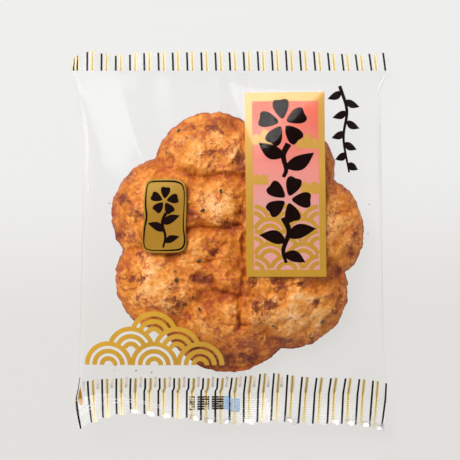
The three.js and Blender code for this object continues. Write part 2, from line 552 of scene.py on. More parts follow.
def coral_finish():
    """Coral ink that runs to pink down the panel, as one split-fountain cylinder prints it."""
    finish, tree = new_finish("coral_to_pink_ink")
    place = add(tree, "TexCoord").outputs["Object"]
    height = add(tree, "SeparateXYZ", {0: place}).outputs[1]
    down = add(tree, "MapRange", {0: height, 1: 52 * MM, 2: 4 * MM}, interpolation_type="SMOOTHSTEP")
    colour = add(tree, "Mix", {0: down, 6: linear("#F2705A"), 7: linear("#D79A95")}, data_type="RGBA")
    colour = mottled(tree, place, 5.0, colour, linear("#E78E80"), 0.45, 0.9)
    skin = add(tree, "BsdfPrincipled", {"Base Color": colour, "Roughness": 0.5, "Specular IOR Level": 0.2})
    add(tree, "OutputMaterial", {"Surface": skin})
    return finish


def gold_finish_with_painted_sheen(name, deep, rich, pale, lean, start, end):
    """Gold ink with a slight mottle, painted paler from start to end, mm up the bag: a painted sheen."""
    finish, tree = new_finish(name)
    place = add(tree, "TexCoord").outputs["Object"]
    sides = add(tree, "SeparateXYZ", {0: place}).outputs
    slant = add(tree, "Math", {0: sides[0], 1: lean, 2: sides[1]}, operation="MULTIPLY_ADD")
    # The painted sheen: paler further up the slant.
    thin = add(tree, "MapRange", {0: slant, 1: start * MM, 2: end * MM})
    colour = mottled(tree, place, 4.5, linear(deep), linear(rich))
    colour = add(tree, "Mix", {0: thin, 6: colour, 7: linear(pale)}, data_type="RGBA")
    skin = add(tree, "BsdfPrincipled", {"Base Color": colour, "Roughness": 0.34, "Specular IOR Level": 0.6})
    add(tree, "OutputMaterial", {"Surface": skin})
    return finish


# Toasting, from scorched to pale puffed dough: share of the way, colour.
TOAST_STEPS = [
    (0.00, "#802C07"), (0.16, "#A64D0B"), (0.36, "#C66C18"), (0.55, "#DE872C"), (0.74, "#F1A756"),
    (0.90, "#FBBF7F"), (1.00, "#FFD7A3"),
]
# The dough's noises: name, lumps of how many mm, detail, roughness, distortion.
DOUGH_NOISE = [
    ("patches", 4.2, 8.0, 0.68, 0.6),
    ("drift", 11.0, 3.0, 0.5, 0.0),
    ("grain", 0.9, 4.0, 0.65, 0.0),
    ("powder", 0.8, 3.0, 0.6, 0.0),
    ("powder drifts", 6.0, 3.0, 0.5, 0.0),
    ("blotch", 3.0, 6.0, 0.68, 0.7),
    ("speck", 0.7, 3.0, 0.6, 0.0),
    ("ragged", 1.2, 5.0, 0.7, 0.8),
    ("dull", 2.0, 3.0, 0.5, 0.0),
    ("crumb", 0.8, 6.0, 0.72, 0.0),
]


def cracker_finish():
    """Puffed and grilled rice dough under a soy glaze: toasted orange, red-brown where it pooled."""
    finish, tree = new_finish("soy_glazed_rice_dough")
    place = add(tree, "TexCoord").outputs["Object"]
    crest, soy, toast_and_shade = (
        add(tree, "Attribute", attribute_name=name).outputs["Fac"] for name in ("crest", "soy", "toast_and_shade")
    )

    grains = {}
    for name, size, detail, roughness, distortion in DOUGH_NOISE:
        grains[name] = add(tree, "TexNoise", {
            "Vector": place, "Scale": per_mm(size), "Detail": detail,
            "Roughness": roughness, "Distortion": distortion,
        })

    # Patches of a few millimetres, drifting over broader ones, with the dough's own fine grain.
    tone = 0.0
    # The crest value paints raised relief paler and hollows darker: painted highlight and shade.
    weights = [
        (grains["patches"], 0.9), (grains["drift"], 0.3), (grains["grain"], 0.5),
        (crest, 0.55), (toast_and_shade, -0.4),
    ]
    for part, weight in weights:
        tone = add(tree, "Math", {0: part, 1: weight, 2: tone}, operation="MULTIPLY_ADD")
    tone = add(tree, "MapRange", {0: tone, 1: 0.70, 2: 1.48})
    colour = add(tree, "ValToRGB", {0: tone})
    steps = colour.color_ramp.elements
    steps[0].color = linear(TOAST_STEPS[0][1])
    steps[1].color = linear(TOAST_STEPS[-1][1])
    for share, tint in TOAST_STEPS[1:-1]:
        steps.new(share).color = linear(tint)

    # Three layers on the dough, each with soft edges.
    soft = {"interpolation_type": "SMOOTHSTEP"}
    # Chilli powder, in fine red grains that lie in drifts.
    powder = add(tree, "MapRange", {0: grains["powder"], 1: 0.52, 2: 0.64}, **soft)
    drifts = add(tree, "MapRange", {0: grains["powder drifts"], 1: 0.36, 2: 0.58, 4: 0.85}, **soft)
    powder = add(tree, "Math", {0: powder, 1: drifts}, operation="MULTIPLY")
    # Browned blotches with ragged edges.
    blotch = add(tree, "Math", {0: toast_and_shade, 1: 0.16, 2: grains["blotch"]}, operation="MULTIPLY_ADD")
    blotch = add(tree, "MapRange", {0: blotch, 1: 0.51, 2: 0.63, 4: 0.8}, **soft)
    speck = add(tree, "MapRange", {0: grains["speck"], 1: 0.36, 2: 0.54, 3: 0.35, 4: 1.0})
    blotch = add(tree, "Math", {0: blotch, 1: speck}, operation="MULTIPLY")
    # Dark pools where the glaze caught, broken up by the dough's grain.
    pool = add(tree, "Math", {0: grains["ragged"], 1: 3.0, 2: soy}, operation="MULTIPLY_ADD")
    pool = add(tree, "MapRange", {0: pool, 1: 1.68, 2: 2.22, 4: 0.88}, **soft)
    for share, tint in ((powder, "#B8482A"), (blotch, "#92341F"), (pool, "#6A1F0E")):
        colour = add(tree, "Mix", {0: share, 6: colour, 7: linear(tint)}, data_type="RGBA")

    rough = add(tree, "MapRange", {0: grains["dull"], 3: 0.30, 4: 0.58})
    bump = add(tree, "Bump", {"Height": grains["crumb"], "Strength": 0.8, "Distance": 0.0005})
    skin = add(tree, "BsdfPrincipled", {
        "Base Color": colour, "Roughness": rough, "Specular IOR Level": 0.3, "Normal": bump,
    })
    add(tree, "OutputMaterial", {"Surface": skin})
    return finish


def flake_finish(name, low, high):
    """Dried seaweed or crushed chilli: matt, with darker and lighter flakes."""
    finish, tree = new_finish(name)
    place = add(tree, "TexCoord").outputs["Object"]
    colour = mottled(tree, place, 0.7, linear(low), linear(high), 0.35, 0.65)
    skin = add(tree, "BsdfPrincipled", {"Base Color": colour, "Roughness": 0.7})
    add(tree, "OutputMaterial", {"Surface": skin})
    return finish


film = film_finish()
gold_ink = gold_finish_with_painted_sheen("gold_ink", "#B98A29", "#C19230", "#DAA852", 0.0, 3, 50)
gold_stripe_ink = gold_stripe_finish()
black_ink = ink_finish("black_ink", "#100302", "#170604", 0.6, 3.0, 0.05)
label_ink = gold_finish_with_painted_sheen("deep_gold_ink", "#9C7014", "#A67A1C", "#BA9034", -0.5, 23, 33)
art_ink = ink_finish("ochre_gold_ink", "#C9972A", "#D3A233", 0.42, 4.0, 0.3)
white_ink = ink_finish("white_backing_ink", "#E6E2DE", "#EFECE9", 0.6, 3.0)
veil_ink = ink_finish("white_over_black_ink", "#CBC0B8", "#D2C8C0", 0.6, 3.0)
blue_ink = ink_finish("blue_ink", "#7FA0C4", "#8FAFD0", 0.5, 3.0)
coral_ink = coral_finish()
dough = cracker_finish()
seaweed = flake_finish("dried_seaweed_flake", "#31311F", "#4C4A30")
chilli = flake_finish("crushed_chilli_flake", "#8E2A18", "#B24A2C")

# ---- film ---------------------------------------------------------------------------------------

FIN_ROWS = 44
BODY_ROWS = 110
FILM_COLUMNS = CUT_TEETH * 8
CLEAR_HAZE = 0.015
TOP_BACK_HAZE = 0.12
FLAP_MIDDLE = 0.9
FLAP_HALF_WIDTH = 5.2

# Painted glints, as whitened lines across the bottom fin: points (x, distance from the seal line).
PAINTED_GLINT_LINES = [
    [(-43.4, 2.8), (-38.6, 3.0), (-33.0, 3.7), (-27.5, 5.2), (-22.4, 6.3)],
    [(-42.4, 4.7), (-36.8, 4.6), (-31.2, 5.3), (-25.6, 6.7), (-21.0, 7.6)],
    [(-55.0, 6.3), (-51.7, 4.6), (-48.0, 2.8)],
    [(-54.6, 7.4), (-51.3, 5.8), (-48.0, 4.3)],
]
PAINTED_GLINT_WIDTH = 0.26
# Pinches that stand up from the film as thin rolled edges: points (x, y), width, whitening.
PINCHES = [
    ([(56.0, 59.3), (54.9, 57.4), (53.7, 55.0), (52.9, 51.8)], 0.75, 0.9),
    ([(-50.6, 19.6), (-50.2, 17.6)], 0.5, 0.9),
]


def painted_glint_line(x, reach):
    """1 along the painted glint lines on the bottom fin, where its film is painted white."""
    return np.max([smooth(1.4 - off_path(points, x, reach) / PAINTED_GLINT_WIDTH) for points in PAINTED_GLINT_LINES], axis=0)


def bottom_fin_haze(x, outward, upper):
    """How milky the bottom fin's two layers are, painted glints included, and how far its white teeth are
    pressed flat.
    """
    flat, white, _ = flat_tooth(BOTTOM_FIN, x)
    tooth = smooth((outward - 0.72) / 0.12)
    towards_right = smooth((x - 38) / 14)
    edge = (0.06 + 0.2 * towards_right) * smooth((outward - 0.55) / 0.3)
    # The white of the listed teeth is partly a painted glint.
    front = CLEAR_HAZE + white * tooth + edge
    # Painted glints along the listed lines.
    front = np.maximum(front, 0.75 * painted_glint_line(x, outward * BOTTOM_FIN["length"]))
    # The back layer is chalky, less so at the left and where the fin turns up in its middle.
    towards_left = smooth((-x - 8) / 20)
    chalky = 0.9 * smooth(outward / 0.6) * (1 - 0.5 * hill(x - 12, 8))
    back = 0.04 + mix(chalky, 0.35 * outward, towards_left)
    return np.where(upper, front, back), np.where(upper, flat * tooth, 0.0)


def side_fold_haze_and_painted_highlight(x, y, body_y):
    """Whitening of the side folds, partly by the forming collar and partly a painted highlight: the left one
    more, and both most at y 35 to 40.
    """
    fold = smooth((1.9 - half_width(x, body_y) + np.abs(x)) / 0.5) * np.where(x < 0, 0.8, 0.3)
    return fold * (0.15 + 0.85 * smooth((y - 5) / 30)) * (1 - 0.85 * smooth((y - 40) / 12))


def make_film():
    """Both layers as one closed slab: the bottom fin's rows, the body's, then the top fin's."""
    rows = 2 * FIN_ROWS + BODY_ROWS
    piece, grid = new_slab("bag_film", FILM_COLUMNS, rows)
    across = np.round(grid[:, 0] * FILM_COLUMNS / 2) * 2 / FILM_COLUMNS
    row = np.round((grid[:, 1] + 1) / 2 * rows)
    upper = grid[:, 2] > 0.5

    share = clamp((row - FIN_ROWS) / BODY_ROWS)
    eased = mix(share, smooth(share), 0.6)
    body_y = mix(BOTTOM_SEAL_Y, TOP_SEAL_Y, eased)
    x = plan_x(across, body_y)
    y = body_y - corner_sag(across, eased)
    z = np.where(upper, upper_layer(x, body_y), lower_layer(x, body_y))
    for fin, outward in (
        (BOTTOM_FIN, (FIN_ROWS - row) / FIN_ROWS),
        (TOP_FIN, (row - FIN_ROWS - BODY_ROWS) / FIN_ROWS),
    ):
        here = outward > 0
        at_seal = plan_x(across, fin["seal_y"] + 0.0 * across)
        fin_x, fin_y, fin_z = on_fin(fin, at_seal, clamp(outward))
        x = np.where(here, fin_x, x)
        y = np.where(here, fin_y, y)
        z = np.where(here, fin_z + np.where(upper, LAYER_GAP, -LAYER_GAP), z)
    write_places(piece, x, y, z)

    in_top = row > FIN_ROWS + BODY_ROWS
    pressed_rows = np.where(in_top, row - FIN_ROWS - BODY_ROWS, FIN_ROWS - row)
    outward = pressed_rows / FIN_ROWS
    bottom_haze, gleam = bottom_fin_haze(x, outward, upper)
    fin_haze = np.where(in_top, np.where(upper, CLEAR_HAZE, TOP_BACK_HAZE), bottom_haze)
    # The side folds' white band, partly a painted highlight.
    fold = side_fold_haze_and_painted_highlight(x, y, body_y) * (pressed_rows <= 0) * upper
    write_values(piece, "haze", np.maximum(fin_haze * smooth(pressed_rows / 2), fold))
    write_values(piece, "gleam", np.where(in_top, 0.0, gleam))
    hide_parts("bag")
    dress(piece, film)


def make_pinches():
    """Half-round beads along the pinches, tapering to both ends."""
    pieces = []
    for points, width, whitening in PINCHES:
        path = np.array(smooth_path(points, 10))
        bead, grid = new_sheet("film_pinches", 8, len(path) - 1)
        row = np.round((grid[:, 1] + 1) / 2 * (len(path) - 1)).astype(int)
        along = np.gradient(path, axis=0)
        along = along / np.hypot(along[:, 0], along[:, 1])[:, None]
        taper = np.sin(math.pi * clamp(0.04 + 0.92 * row / (len(path) - 1))) ** 0.5
        offset = grid[:, 0] * width / 2 * taper
        x = path[row, 0] + along[row, 1] * offset
        y = path[row, 1] - along[row, 0] * offset
        lift = np.sqrt(clamp(1 - grid[:, 0] ** 2)) * width / 2 * taper
        write_places(bead, x, y, upper_layer(x, y) + 0.02 + lift)
        write_values(bead, "haze", 0.0 * x + whitening)
        pieces.append(bead)
    dress(join_flat("film_pinches", pieces), film)


def make_back_seam():
    """The tube's lengthwise seam: a flat flap folded against the underside, not quite straight."""
    piece, grid = new_sheet("back_seam_flap", 12, 120)
    y = mix(BOTTOM_SEAL_Y + 1, TOP_SEAL_Y - 1, (grid[:, 1] + 1) / 2)
    wander = 0.5 * np.sin(y / 21) + 0.2 * np.sin(y / 7 + 1)
    x = FLAP_MIDDLE + wander + grid[:, 0] * FLAP_HALF_WIDTH
    z = lower_layer(x, y) - REST_GAP / 2
    write_places(piece, x, y, z)
    write_values(piece, "haze", 0.05 * smooth((np.abs(grid[:, 0]) - 0.2) / 0.3))
    dress(piece, film)


# ---- cracker ------------------------------------------------------------------------------------

CRACKER_CENTRE = (2.5, -0.4)
# Seven lobes: degrees, distance from the centre, radius.
LOBES = [
    (109, 25.8, 21.9), (55, 31.3, 17.2), (9, 25.1, 20.9), (-43, 25.4, 21.3), (-98, 22.2, 25.1),
    (-151, 27.9, 19.3), (159, 26.6, 20.4),
]
CRACKER_STEPS = 214
CRACKER_REST_Z = 0.45
CRACKER_RIM_Z = 6.0
TOP_ROUNDING = 2.6  # how far in from the rim its top edge is rounded
UNDER_ROUNDING = 9.0  # and its bottom edge
SHOULDER_LOW = 0.6  # share of the full height at the rim
SHOULDER_RUN = 19  # and how far in the full height is reached
CREST_GAP = 1.7  # how far under the film the cracker's top lies
FILM_CLEARANCE = 0.4  # and its highest crests

# Blisters of the puffed dough: x, y, half width, half height, extra height.
BLISTERS = [
    (-8.3, 33.4, 18.0, 11.8, 1.9), (21.5, 26.9, 16.5, 15.1, 2.0), (-5.0, 12.2, 10.8, 9.3, 2.4),
    (-28.7, 10.1, 15.1, 16.5, 2.1), (-9.7, -2.5, 6.5, 5.7, 1.9), (-25.1, -16.2, 17.2, 14.4, 2.2),
    (-0.7, -10.1, 5.7, 9.3, 1.8), (-2.9, -34.1, 18.7, 13.6, 1.9), (24.4, -25.1, 18.7, 12.9, 2.2),
    (16.2, -9.0, 12.2, 8.6, 2.0), (34.1, 5.4, 14.4, 17.2, 2.0), (-1.4, -25.8, 7.2, 5.7, 1.9),
    (10.1, -28.0, 7.2, 7.9, 1.8),
]

# Cracks and tight creases: points along each, half width, depth.
CRACKS = [
    ([(-14.4, 22.6), (-5.4, 22.9), (5.4, 22.6)], 0.9, 1.1),
    ([(-14.4, 3.8), (-5.0, 3.6), (1.0, 4.0), (3.6, 4.4)], 1.0, 1.2),
    ([(4.7, 0.0), (5.6, -9.0), (3.9, -15.4), (3.6, -20.1), (3.4, -32.3)], 0.8, 1.2),
    ([(-2.5, -29.8), (1.6, -30.0), (5.7, -29.6)], 0.6, 0.9),
    ([(-0.7, -1.1), (-3.4, -3.2), (-6.1, -5.4)], 0.7, 0.8),
    ([(-5.7, -17.6), (-1.0, -19.0), (2.9, -20.5)], 0.7, 0.8),
    ([(12.9, -28.7), (20.0, -27.2), (28.0, -27.6)], 0.8, -0.5),
    ([(-26.9, 28.7), (-20.0, 21.0), (-15.0, 17.0)], 1.3, 0.4),
    ([(-38.8, -4.3), (-28.0, -4.0), (-19.0, -4.8)], 1.3, 0.4),
    ([(-23.0, -33.7), (-17.0, -27.0), (-13.0, -21.0)], 1.3, 0.5),
    ([(18.0, -38.8), (12.0, -31.0), (9.0, -24.0)], 1.2, 0.5),
    ([(40.6, -11.8), (31.0, -14.0), (22.0, -15.5)], 1.3, 0.5),
]

# Where the glaze pooled and browned: x, y, half width, half height, strength.
POOLS = [
    (-6.1, 40.2, 3.6, 2.4, 0.75), (-12.6, 40.2, 2.0, 1.4, 0.55), (-6.3, 30.6, 3.0, 2.6, 0.75),
    (3.9, 27.6, 2.6, 3.6, 0.95), (-24.0, 31.0, 2.0, 1.4, 0.5), (-38.1, 15.1, 2.8, 2.2, 0.8),
    (-35.5, 21.9, 1.8, 2.4, 0.6), (-33.2, 8.8, 2.6, 2.4, 0.75), (-39.5, 2.5, 2.0, 1.8, 0.6),
    (-32.3, -5.7, 1.8, 1.6, 0.6), (-33.6, -13.8, 4.4, 1.5, 0.75), (-18.4, -22.8, 3.0, 2.6, 0.75),
    (-13.8, -20.8, 1.8, 1.2, 0.7), (-5.7, -3.6, 2.6, 1.6, 0.95), (-9.2, -13.5, 4.0, 1.7, 1.05),
    (0.4, 4.9, 3.4, 1.8, 0.7), (3.6, 9.3, 1.2, 3.6, 0.6), (-14.4, 9.4, 2.0, 1.4, 0.5),
    (8.0, -15.1, 2.2, 1.6, 0.7), (16.9, -15.2, 2.4, 1.5, 0.85), (25.2, -15.1, 2.6, 1.6, 0.85),
    (9.9, -23.6, 2.4, 2.2, 0.85), (14.6, -22.6, 2.6, 2.4, 0.9), (30.6, -22.0, 2.2, 1.4, 0.85),
    (38.5, -11.3, 2.4, 2.0, 0.7), (39.3, -20.0, 1.6, 3.6, 0.6), (37.3, -26.4, 1.8, 1.6, 0.6),
    (43.9, -3.6, 1.6, 4.0, 0.55), (45.2, 3.6, 1.6, 3.0, 0.55), (38.0, 10.0, 1.8, 1.4, 0.45),
    (19.0, -35.7, 3.4, 1.8, 0.6), (29.4, -34.8, 2.2, 1.4, 0.55), (-12.8, -38.4, 3.2, 1.8, 1.0),
    (-1.0, -43.6, 5.4, 2.2, 0.75), (6.4, -42.2, 4.0, 2.2, 0.75),
]


def rim_radius(angle):
    """Distance from the centre to the rim: the furthest of the seven circles."""
    radius = 0.0 * angle
    for degrees, distance, size in LOBES:
        turn = angle - math.radians(degrees)
        inside = np.maximum(0.0, size**2 - (distance * np.sin(turn)) ** 2)
        reach = distance * np.cos(turn) + np.sqrt(inside)
        radius = np.maximum(radius, np.where(inside > 0, reach, 0.0))
    return radius


def disc_from_square(u, v):
    """Square grid to disc, keeping the quads even."""
    radius = np.maximum(np.abs(u), np.abs(v))
    wide = np.abs(u) >= np.abs(v)
    with np.errstate(divide="ignore", invalid="ignore"):
        angle = np.where(wide, np.where(u < 0, math.pi, 0.0) + math.pi / 4 * v / u, 0.0)
        other = np.where(v < 0, -math.pi / 2, math.pi / 2) - math.pi / 4 * u / v
    angle = np.where(wide, angle, other)
    return radius, np.where(radius > 0, angle, 0.0)


def noise_at(x, y, z, size, octaves):
    return np.array([
        noise.fractal(Vector((a / size, b / size, c / size)), 0.7, 2.1, octaves)
        for a, b, c in zip(x, y, z)
    ])


def wrinkles_at(x, y, z, size):
    """Sharp ridges between round hollows, from 0 in a hollow to about 2 on a ridge."""
    return np.array([
        noise.ridged_multi_fractal(Vector((a / size, b / size, c / size)), 0.9, 2.1, 3, 1.0, 1.8)
        for a, b, c in zip(x, y, z)
    ])


def crack_depth(x, y):
    depth = 0.0 * x
    for points, width, size in CRACKS:
        depth = depth + size * hill(off_path(points, x, y), width)
    return depth


def blister_height(x, y):
    """Smooth maximum of the blisters, so that they meet in soft valleys."""
    total = np.exp(0.0 * x)
    for bx, by, wide, high, extra in BLISTERS:
        dome = extra * clamp(1 - ((x - bx) / wide) ** 2 - ((y - by) / high) ** 2) ** 0.7
        total = total + np.exp(3.2 * dome)
    return np.log(total) / 3.2


def make_cracker():
    piece, grid = new_slab("cracker", CRACKER_STEPS, CRACKER_STEPS)
    radius, angle = disc_from_square(grid[:, 0], grid[:, 1])
    radius = mix(radius, np.sin(math.pi / 2 * radius), 0.45)
    upper = grid[:, 2] > 0.5
    nibs = noise_at(9 * np.cos(angle), 9 * np.sin(angle), 0 * angle, 0.5, 3)
    wobble = noise_at(9 * np.cos(angle), 9 * np.sin(angle), 0 * angle, 2.2, 4)
    rim = rim_radius(angle) + 0.5 * wobble + 0.35 * nibs * radius**8
    x = CRACKER_CENTRE[0] + radius * rim * np.cos(angle)
    y = CRACKER_CENTRE[1] + radius * rim * np.sin(angle)
    inward = (1 - radius) * rim

    # Puffed dough: blisters that drift off their places, folds on them, and cracks between.
    face = upper * 30.0  # its two faces differ
    drift_x = 2.2 * noise_at(x, y, face + 50, 8.0, 3)
    drift_y = 2.2 * noise_at(x, y, face + 90, 8.0, 3)
    broad = noise_at(x, y, face, 7.0, 3)
    fine = noise_at(x, y, face, 2.4, 4)
    folds = wrinkles_at(x + drift_x, y + drift_y, face, 7.0) - 1.0
    relief = 1.5 * (blister_height(x + drift_x, y + drift_y) - 1.2)
    relief = relief - crack_depth(x + 0.5 * drift_x, y + 0.5 * drift_y) * (1.1 + 0.6 * broad)
    detail = 0.4 * broad + 0.5 * fine + 0.9 * folds

    # The top lies a little under the film and rounds off to the rim; the underside is nearly flat.
    rounding = np.sqrt(clamp(1 - (1 - clamp(inward / TOP_ROUNDING)) ** 2))
    shoulder = mix(SHOULDER_LOW, 1.0, np.sin(math.pi / 2 * clamp(inward / SHOULDER_RUN)))
    under = soft_above_zero(CREST_GAP - FILM_CLEARANCE - relief - detail, 0.4)
    crest = (upper_layer(x, y) - FILM_CLEARANCE - under) * shoulder
    high = CRACKER_RIM_Z + (crest - CRACKER_RIM_Z) * rounding
    flat = CRACKER_REST_Z + 0.35 * (1 + broad) * smooth(1 - inward / 30)
    rounding = np.sqrt(clamp(1 - (1 - clamp(inward / UNDER_ROUNDING)) ** 2))
    low = CRACKER_RIM_Z + (flat - CRACKER_RIM_Z) * rounding
    low = np.minimum(np.maximum(low, lower_layer(x, y) + 0.25), high)
    write_places(piece, x, y, np.where(upper, high, low))

    # Relief height, which the finish turns into painted highlight on crests and painted shade in hollows.
    write_values(piece, "crest", clamp((relief + detail + 1.9) / 4.4))
    soy = 0.0 * x
    for px, py, wide, tall, strength in POOLS:
        from_pool = ((x + drift_x / 2 - px) / wide) ** 2 + ((y + drift_y / 2 - py) / tall) ** 2
        soy = np.maximum(soy, strength * np.exp(-from_pool))
    write_values(piece, "soy", soy)
    # Darker along the foot (painted shade), browner at the left, round the rim and all over the underside.
    toast_and_shade = 0.4 * hill(x - 2, 22) * hill(y + 42, 8) + 0.2 * hill(x + 40, 8) * hill(y - 8, 18)
    toast_and_shade = toast_and_shade + 0.5 * smooth(1 - inward / 1.0) * (0.6 + 0.8 * nibs) + np.where(upper, 0.0, 0.25)
    write_values(piece, "toast_and_shade", clamp(toast_and_shade))
    close_seams(0.01)
    return dress(piece, dough)


def cracker_top(x, y, cracker):
    """Height of the cracker under a place, by a ray from above."""
    found, place, _, _ = cracker.ray_cast(Vector((x * MM, y * MM, 0.05)), Vector((0, 0, -1)))
    return place.z / MM if found else REST_GAP + 0.3


# Flakes of seaweed on the glaze: x, y.
SEAWEED = [
    (-18.3, 38.8), (-3.2, 17.2), (-9.7, 10.4), (-19.2, -11.1), (-19.2, -14.0), (-11.1, -7.2),
    (-10.8, -24.4), (15.4, -30.5), (11.5, -34.8), (32.7, -29.1),
]
# Loose crumbs in the bag: x, y.
CRUMBS = [
    (-41.6, -45.6), (-42.0, -47.4), (-34.1, -47.4), (-28.4, -48.1), (50.5, 12.9), (50.1, 2.2), (-43.8, 13.3),
]


def make_flakes(name, places, size, thick, finish, cracker, seed):
    """An irregular flake at each place, each lumped, turned and sized on its own, as one piece."""
    chance = random.Random(seed)
    flakes = []
    for x, y in places:
        bpy.ops.object.select_all(action="DESELECT")
        z = cracker_top(x, y, cracker) + thick * 0.3
        bpy.ops.mesh.primitive_ico_sphere_add(subdivisions=2, radius=1, location=(0, 0, 0))
        flake = start_piece(name)
        shape = read_places(flake)
        lumps = noise_at(shape[:, 0], shape[:, 1] + 7 * x, shape[:, 2] + 5 * y, 0.9, 2)
        shape = shape * (1 + 0.45 * lumps)[:, None]
        turn = chance.uniform(0, math.pi)
        wide = size * chance.uniform(0.7, 1.3)
        slim = wide * chance.uniform(0.45, 0.9)
        local_x, local_y = shape[:, 0] * wide, shape[:, 1] * slim
        write_places(
            flake,
            x + local_x * math.cos(turn) - local_y * math.sin(turn),
            y + local_x * math.sin(turn) + local_y * math.cos(turn),
            z + shape[:, 2] * thick,
        )
        flakes.append(flake)
    dress(join_pieces(name, flakes), finish)


# ---- print --------------------------------------------------------------------------------------

PRINT_STEP = 1.2
EVERYWHERE = (-FAR, -FAR, FAR, FAR)  # as a box: left, bottom, right, top
# How far under the film each ink lies.
BLACK_GAP = 0.08
GOLD_GAP = 0.11
COLOUR_GAP = 0.14
BACKING_GAP = 0.26
STRIPE_BLACK_GAP = 0.03
MARK_GAP = 0.035  # between the stripes' black and their gold
STRIPE_GOLD_GAP = 0.04
TUCK_GOLD_GAP = 0.05
# How far over the back layer the back's inks lie.
BACK_WHITE_GAP = 0.08
BACK_BLACK_GAP = 0.01
MARK_BARS = 6
MARK_BAR = 0.6  # depth of each bar of a register mark


def under_film(x, y, gap):
    """Height of a layer of ink gap below the film's top layer."""
    share = clamp(body_share(y))
    body_y = y + corner_sag(x / half_width(x, y), share)
    z = upper_layer(x, body_y) - gap
    for fin in (BOTTOM_FIN, TOP_FIN):
        across = x / half_width(x, fin["seal_y"] + 0.0 * x)
        out = fin["side"] * (y - fin["seal_y"]) - fin["sag"] * np.abs(across) ** 8
        slope = fin_slope(fin, x)
        reach = out / np.cos(slope)
        fin_z = fin["seal_z"] + reach * np.sin(slope) + crimp_rib(reach) + LAYER_GAP - gap
        z = np.where(out > 0, fin_z, z)
    return z


def lay_print(name, outlines, gap, finish):
    """Flat filled outlines, cut into small faces and laid under the film."""
    shapes = []
    for outline in outlines:
        bpy.ops.object.select_all(action="DESELECT")
        bpy.ops.mesh.primitive_circle_add(vertices=len(outline), radius=1, fill_type="NGON")
        shape = start_piece(name)
        points = np.array(outline, dtype=float)
        shape.data.vertices.foreach_set("co", np.c_[points, 0 * points[:, 0]].ravel())
        shape.data.update()
        shapes.append(shape)
    piece = join_pieces(name, shapes)
    flat = read_places(piece)
    low, high = flat.min(axis=0), flat.max(axis=0)
    with editing():
        bpy.ops.mesh.quads_convert_to_tris(quad_method="BEAUTY", ngon_method="BEAUTY")
        for axis, normal in enumerate(((1, 0, 0), (0, 1, 0))):
            cut = math.ceil(low[axis] / PRINT_STEP) * PRINT_STEP
            while cut < high[axis]:
                bpy.ops.mesh.select_all(action="SELECT")
                bpy.ops.mesh.bisect(plane_co=[cut * part for part in normal], plane_no=normal)
                cut += PRINT_STEP
        bpy.ops.mesh.select_all(action="SELECT")
        bpy.ops.mesh.remove_doubles(threshold=0.001)
    flat = read_places(piece)
    write_places(piece, flat[:, 0], flat[:, 1], under_film(flat[:, 0], flat[:, 1], gap))
    face_up(piece)
    dress(piece, finish)


def box_outline(left, bottom, right, top):
    """From the lower left corner, anticlockwise."""
    return [(left, bottom), (right, bottom), (right, top), (left, top)]


def ribbed_mark(left, right, top):
    """A register mark, which the crimp's ribs break into bars across it."""
    bars = []
    for row in range(MARK_BARS):
        edge = top - row * CRIMP_PITCH
        bars.append(box_outline(left, edge - MARK_BAR, right, edge))
    return bars


def frame_outlines(outer, inner):
    """A rectangular border between two boxes, as four mitred bars."""
    outside, inside = box_outline(*outer), box_outline(*inner)
    return [[outside[i - 4], outside[i - 3], inside[i - 3], inside[i - 4]] for i in range(4)]


def ring_outlines(points, width, closed=True):
    """A line along a path, as one quad a step. It has one width, or one at each point."""
    path = np.array(points, dtype=float)
    ahead = np.roll(path, -1, axis=0) if closed else np.vstack([path[1:], path[-1:]])
    behind = np.roll(path, 1, axis=0) if closed else np.vstack([path[:1], path[:-1]])
    along = ahead - behind
    along = along / np.hypot(along[:, 0], along[:, 1])[:, None]
    across = np.stack([-along[:, 1], along[:, 0]], axis=-1)
    widths = np.broadcast_to(np.asarray(width, dtype=float), (len(path),))[:, None]
    outer, inner = path + across * widths / 2, path - across * widths / 2
    count = len(path) if closed else len(path) - 1
    quads = []
    for i in range(count):
        j = (i + 1) % len(path)
        quads.append([tuple(inner[i]), tuple(inner[j]), tuple(outer[j]), tuple(outer[i])])
    return quads


def turned(points, x, y, degrees):
    """Points turned about the origin, which is moved to (x, y)."""
    cosine, sine = math.cos(math.radians(degrees)), math.sin(math.radians(degrees))
    return [(x + a * cosine - b * sine, y + a * sine + b * cosine) for a, b in points]


def leaf_outline(x, y, length, width, degrees, bend):
    """A pointed leaf from its stalk at (x, y), curved sideways by bend."""
    points = []
    steps = 14
    for side in (1, -1):
        for step in range(steps):
            share = step / steps if side > 0 else 1 - step / steps
            swell = math.sin(math.pi * share**0.8) * width / 2
            points.append((share * length, side * swell + bend * math.sin(math.pi * share)))
    return turned(points, x, y, degrees)


def petal_outline(x, y, length, width, degrees):
    """A plum petal: narrow at the heart, round and slightly notched at its end."""
    points = []
    steps = 22
    for step in range(steps):
        turn = 2 * math.pi * step / steps
        along = 0.5 - 0.5 * math.cos(turn)
        wide = math.sin(turn) * (0.35 + 0.65 * along) * width / 2
        notch = 0.12 * length * max(0.0, math.cos(turn - math.pi)) ** 12
        points.append((along * length - notch, wide))
    return turned(points, x, y, degrees)


def blossom_outlines(x, y, size, degrees):
    """Five separate petals round a heart, with a gap between them."""
    outlines = []
    for i in range(5):
        turn = degrees + 72 * i
        [stalk] = turned([(size * 0.16, 0.0)], x, y, turn)
        outlines.append(petal_outline(*stalk, size * 0.84, size * 0.86, turn))
    return outlines


def stem_outlines(points, thick, thin):
    """A brushed stem that thins along its length."""
    path = smooth_path(points)
    widths = np.linspace(thick, thin, len(path))
    return ring_outlines(path, widths, closed=False)


